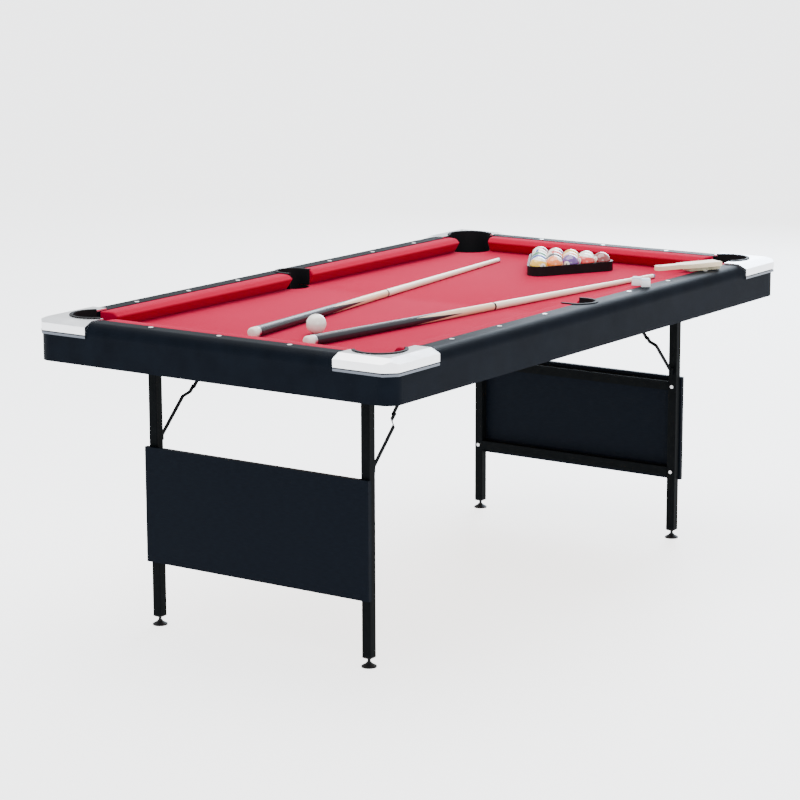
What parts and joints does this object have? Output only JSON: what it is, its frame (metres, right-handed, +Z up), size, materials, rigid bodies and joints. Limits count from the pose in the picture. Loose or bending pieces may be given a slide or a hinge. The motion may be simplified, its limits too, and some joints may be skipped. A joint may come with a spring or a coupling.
{
  "type": "folding pool table",
  "caption": "Folding pool table with red cloth, black rails, bright corner caps, folding braced leg frames, cues, balls, rack, brush and chalk.",
  "frame": {"origin": "on the floor under the middle of the bed, at the feet's undersides", "axes": "+X along the table to the far (racked) end, +Y to the left side, +Z up"},
  "size_m": [1.914, 1.076, 0.8222],
  "materials": {
    "bed_cloth": "woven cloth",
    "bed_board": "raw fibreboard",
    "black_rail": "black satin foil",
    "bright_cap": "bright plated, softly mirrored",
    "white_sight": "gloss",
    "pocket_plastic": "matt",
    "black_steel": "satin powder coat",
    "zinc_steel": "zinc plated",
    "black_panel": "black satin foil",
    "foot_plastic": "moulded",
    "cue_butt": "gloss lacquer",
    "cue_wood": "clear lacquer",
    "white_ball": "polished",
    "coloured_balls": "polished",
    "rack_plastic": "satin",
    "brush_hair": "bristle",
    "chalk": "powdery"
  },
  "bodies": {
    "table": {"bed_board": "bed_board", "bed_cloth": "bed_cloth", "side_rail_left": "black_rail", "side_rail_right": "black_rail", "end_rail_near": "black_rail", "end_rail_far": "black_rail", "corner_blocks": "black_rail", "corner_caps": "bright_cap", "cushion_far_left": "bed_cloth", "cushion_far_right": "bed_cloth", "cushion_near_left": "bed_cloth", "cushion_near_right": "bed_cloth", "cushion_far_end": "bed_cloth", "cushion_near_end": "bed_cloth", "rail_sights": "white_sight", "corner_pocket_near_left": "pocket_plastic", "corner_pocket_near_right": "pocket_plastic", "corner_pocket_far_left": "pocket_plastic", "corner_pocket_far_right": "pocket_plastic", "side_pocket_left": "pocket_plastic", "side_pocket_right": "pocket_plastic", "bed_bearers": "bed_board", "hinge_brackets": "zinc_steel", "hinge_rods": "zinc_steel", "brace_hangers": "zinc_steel", "bracket_screws": "zinc_steel"},
    "near_leg_frame": {"near_legs": "black_steel", "near_cross_tubes": "black_steel", "near_panel": "black_panel", "near_panel_bolts": "zinc_steel", "near_brace_brackets": "black_steel", "near_leg_plugs": "foot_plastic"},
    "far_leg_frame": {"far_legs": "black_steel", "far_cross_tubes": "black_steel", "far_panel": "black_panel", "far_panel_bolts": "zinc_steel", "far_brace_brackets": "black_steel", "far_leg_plugs": "foot_plastic"},
    "lower_stay_near_left": {"brace_lower_near_left": "black_steel"},
    "upper_stay_near_left": {"brace_upper_near_left": "black_steel"},
    "levelling_foot_near_left": {"foot_near_left": "foot_plastic"},
    "lower_stay_near_right": {"brace_lower_near_right": "black_steel"},
    "upper_stay_near_right": {"brace_upper_near_right": "black_steel"},
    "levelling_foot_near_right": {"foot_near_right": "foot_plastic"},
    "lower_stay_far_left": {"brace_lower_far_left": "black_steel"},
    "upper_stay_far_left": {"brace_upper_far_left": "black_steel"},
    "levelling_foot_far_left": {"foot_far_left": "foot_plastic"},
    "lower_stay_far_right": {"brace_lower_far_right": "black_steel"},
    "upper_stay_far_right": {"brace_upper_far_right": "black_steel"},
    "levelling_foot_far_right": {"foot_far_right": "foot_plastic"},
    "left_cue": {"cue_left_butt": "cue_butt", "cue_left_shaft": "cue_wood"},
    "right_cue": {"cue_right_butt": "cue_butt", "cue_right_shaft": "cue_wood"},
    "white_ball": {"cue_ball": "white_ball"},
    "racked_balls": {"object_balls": "coloured_balls"},
    "rack": {"triangle_rack": "rack_plastic"},
    "brush": {"brush_handle": "cue_wood", "brush_bristles": "brush_hair"},
    "chalk": {"chalk_cubes": "chalk"}
  },
  "joints": [
    {"name": "near_leg_fold", "type": "hinge", "parent": "table", "child": "near_leg_frame", "pos_m": [-0.751, 0, 0.718], "axis": [0, -1, 0], "range_deg": [0, 90]},
    {"name": "far_leg_fold", "type": "hinge", "parent": "table", "child": "far_leg_frame", "pos_m": [0.751, 0, 0.718], "axis": [0, 1, 0], "range_deg": [0, 90]},
    {"name": "near_left_lower_stay", "type": "hinge", "parent": "near_leg_frame", "child": "lower_stay_near_left", "pos_m": [-0.731, 0.325, 0.487], "axis": [0, -1, 0], "range_deg": [0, 45.33]},
    {"name": "near_left_upper_stay", "type": "hinge", "parent": "table", "child": "upper_stay_near_left", "pos_m": [-0.478, 0.3071, 0.738], "axis": [0, 1, 0], "range_deg": [0, 44.87]},
    {"name": "near_left_foot_level", "type": "slide", "parent": "near_leg_frame", "child": "levelling_foot_near_left", "axis": [0, 0, -1], "range_m": [0, 0.012]},
    {"name": "near_right_lower_stay", "type": "hinge", "parent": "near_leg_frame", "child": "lower_stay_near_right", "pos_m": [-0.731, -0.325, 0.487], "axis": [0, -1, 0], "range_deg": [0, 45.33]},
    {"name": "near_right_upper_stay", "type": "hinge", "parent": "table", "child": "upper_stay_near_right", "pos_m": [-0.478, -0.3071, 0.738], "axis": [0, 1, 0], "range_deg": [0, 44.87]},
    {"name": "near_right_foot_level", "type": "slide", "parent": "near_leg_frame", "child": "levelling_foot_near_right", "axis": [0, 0, -1], "range_m": [0, 0.012]},
    {"name": "far_left_lower_stay", "type": "hinge", "parent": "far_leg_frame", "child": "lower_stay_far_left", "pos_m": [0.731, 0.325, 0.487], "axis": [0, 1, 0], "range_deg": [0, 45.33]},
    {"name": "far_left_upper_stay", "type": "hinge", "parent": "table", "child": "upper_stay_far_left", "pos_m": [0.478, 0.3071, 0.738], "axis": [0, -1, 0], "range_deg": [0, 44.87]},
    {"name": "far_left_foot_level", "type": "slide", "parent": "far_leg_frame", "child": "levelling_foot_far_left", "axis": [0, 0, -1], "range_m": [0, 0.012]},
    {"name": "far_right_lower_stay", "type": "hinge", "parent": "far_leg_frame", "child": "lower_stay_far_right", "pos_m": [0.731, -0.325, 0.487], "axis": [0, 1, 0], "range_deg": [0, 45.33]},
    {"name": "far_right_upper_stay", "type": "hinge", "parent": "table", "child": "upper_stay_far_right", "pos_m": [0.478, -0.3071, 0.738], "axis": [0, -1, 0], "range_deg": [0, 44.87]},
    {"name": "far_right_foot_level", "type": "slide", "parent": "far_leg_frame", "child": "levelling_foot_far_right", "axis": [0, 0, -1], "range_m": [0, 0.012]},
    {"name": "left_cue_lift", "type": "slide", "parent": "table", "child": "left_cue", "axis": [0, 0, 1], "range_m": [0, 0.25]},
    {"name": "right_cue_lift", "type": "slide", "parent": "table", "child": "right_cue", "axis": [0, 0, 1], "range_m": [0, 0.25]},
    {"name": "white_ball_lift", "type": "slide", "parent": "table", "child": "white_ball", "axis": [0, 0, 1], "range_m": [0, 0.25]},
    {"name": "racked_balls_lift", "type": "slide", "parent": "table", "child": "racked_balls", "axis": [0, 0, 1], "range_m": [0, 0.25]},
    {"name": "rack_lift", "type": "slide", "parent": "table", "child": "rack", "axis": [0, 0, 1], "range_m": [0, 0.25]},
    {"name": "brush_lift", "type": "slide", "parent": "table", "child": "brush", "axis": [0, 0, 1], "range_m": [0, 0.25]},
    {"name": "chalk_lift", "type": "slide", "parent": "table", "child": "chalk", "axis": [0, 0, 1], "range_m": [0, 0.25]}
  ],
  "couplings": [
    {"joint": "near_left_lower_stay", "follows": "near_leg_fold", "ratio": 0.50253},
    {"joint": "near_left_upper_stay", "follows": "near_leg_fold", "ratio": 0.49747},
    {"joint": "near_right_lower_stay", "follows": "near_leg_fold", "ratio": 0.50253},
    {"joint": "near_right_upper_stay", "follows": "near_leg_fold", "ratio": 0.49747},
    {"joint": "far_left_lower_stay", "follows": "far_leg_fold", "ratio": 0.50253},
    {"joint": "far_left_upper_stay", "follows": "far_leg_fold", "ratio": 0.49747},
    {"joint": "far_right_lower_stay", "follows": "far_leg_fold", "ratio": 0.50253},
    {"joint": "far_right_upper_stay", "follows": "far_leg_fold", "ratio": 0.49747}
  ]
}
